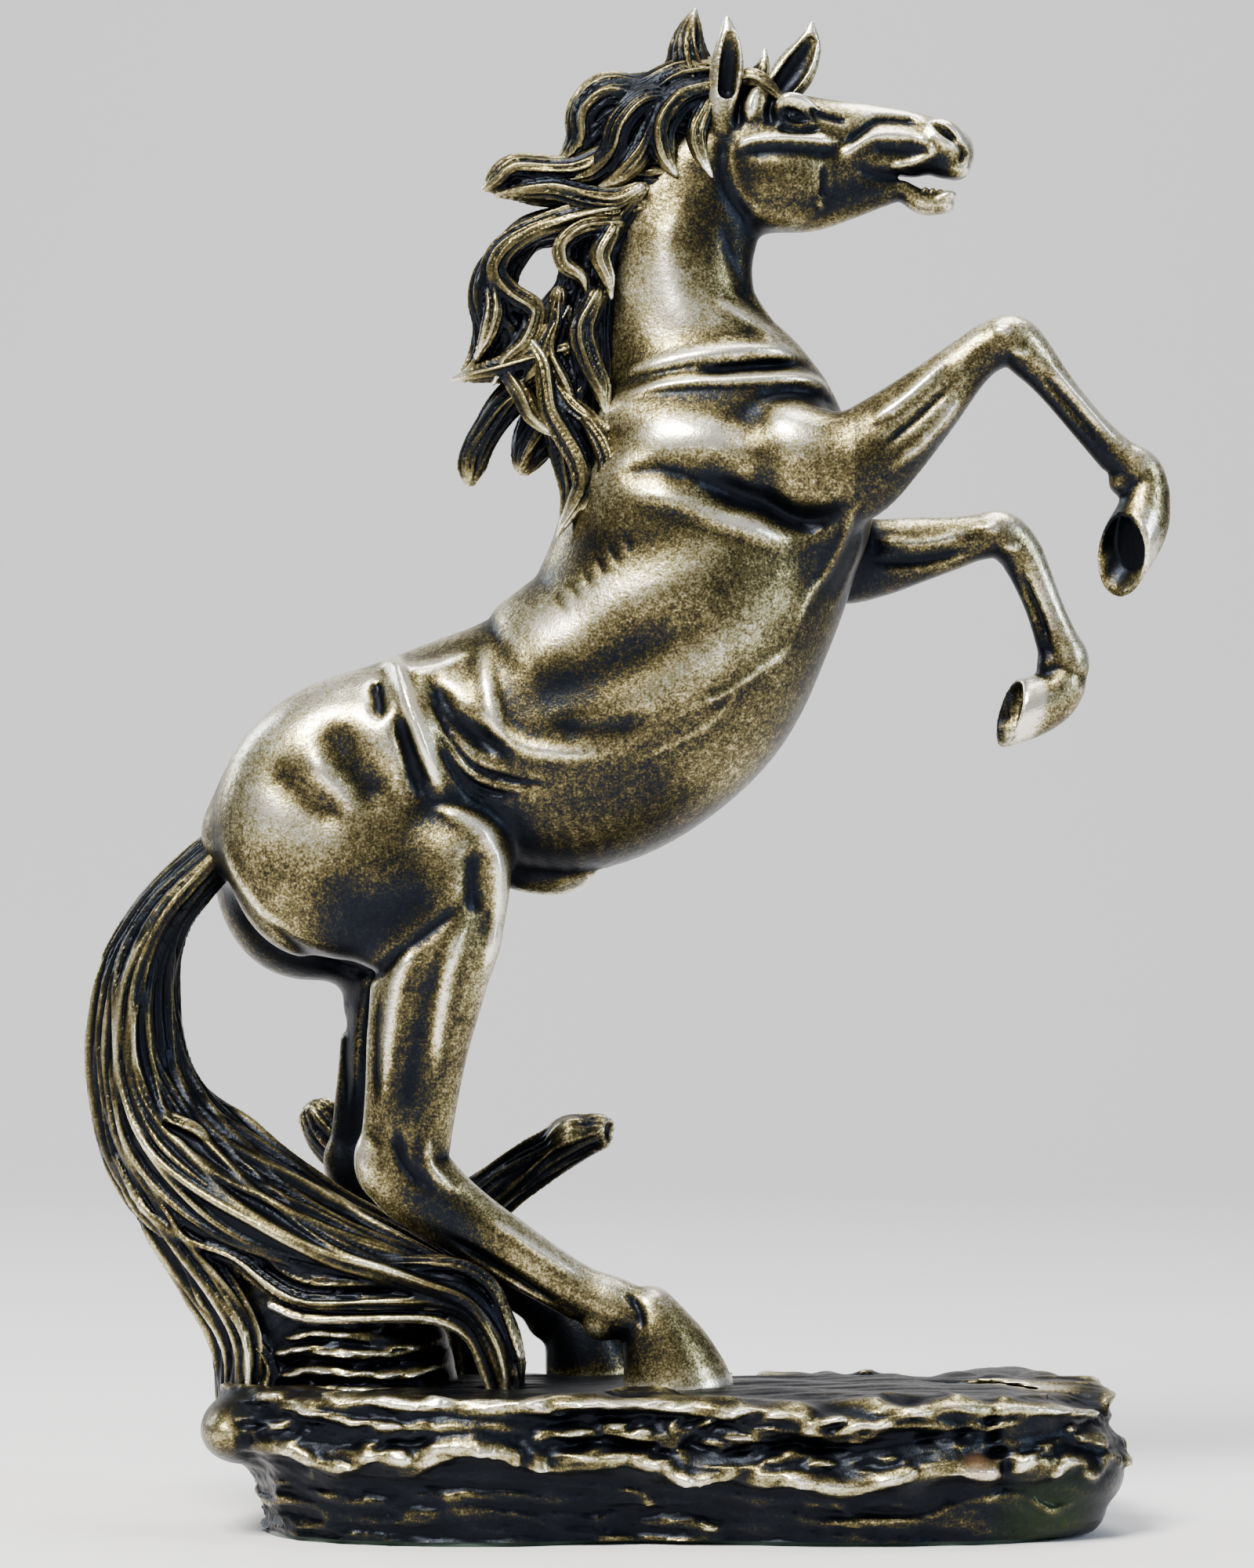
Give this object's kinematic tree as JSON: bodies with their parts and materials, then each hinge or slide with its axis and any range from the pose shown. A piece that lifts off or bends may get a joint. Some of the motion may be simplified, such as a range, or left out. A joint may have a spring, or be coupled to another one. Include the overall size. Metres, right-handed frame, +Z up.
{
  "type": "horse statuette",
  "caption": "Bronze statuette of a rearing horse with flowing mane and tail, on a driftwood base with a steel-pinned armature and a felt underside.",
  "frame": {"origin": "on the felt's underside, under the middle of the statuette's outline box", "axes": "+Z up, +X the way the horse faces, +Y to the horse's left"},
  "size_m": [0.2744, 0.1153, 0.3856],
  "materials": {
    "antique_bronze": "dark patina rubbed back to pale gold on the raised muscles",
    "hair_bronze": "dark patina with pale dry-brushed strand crests",
    "dark_bronze": "near-black patina with worn pale edges",
    "zinc_plated_steel": "zinc plated",
    "green_felt": "pressed felt"
  },
  "bodies": {
    "root": {"armature_nuts": "zinc_plated_steel", "armature_washers": "zinc_plated_steel", "base_casting": "dark_bronze", "base_plate": "zinc_plated_steel", "base_plate_screws": "zinc_plated_steel", "driftwood_log": "dark_bronze", "felt_sheet": "green_felt", "head_casting": "antique_bronze", "head_dowel": "zinc_plated_steel", "left_ear": "antique_bronze", "left_foreleg": "antique_bronze", "left_hind_leg": "antique_bronze", "left_leg_rod": "zinc_plated_steel", "mane_crest_fall": "hair_bronze", "mane_crest_lock": "hair_bronze", "mane_forelock": "hair_bronze", "mane_hanging_lock": "hair_bronze", "mane_lower_curl": "hair_bronze", "mane_middle_lock": "hair_bronze", "mane_poll_tuft": "hair_bronze", "mane_side_lock": "hair_bronze", "mane_upper_curl": "hair_bronze", "mane_withers_lock": "hair_bronze", "neck_backing_ring": "antique_bronze", "neck_casting": "antique_bronze", "right_ear": "antique_bronze", "right_foreleg": "antique_bronze", "right_hind_leg": "antique_bronze", "right_leg_rod": "zinc_plated_steel", "root_stump": "dark_bronze", "section_dowels": "zinc_plated_steel", "tail_lower": "hair_bronze", "tail_rod": "zinc_plated_steel", "tail_skirt": "hair_bronze", "tail_upper": "hair_bronze", "torso_casting": "antique_bronze"}
  },
  "joints": []
}
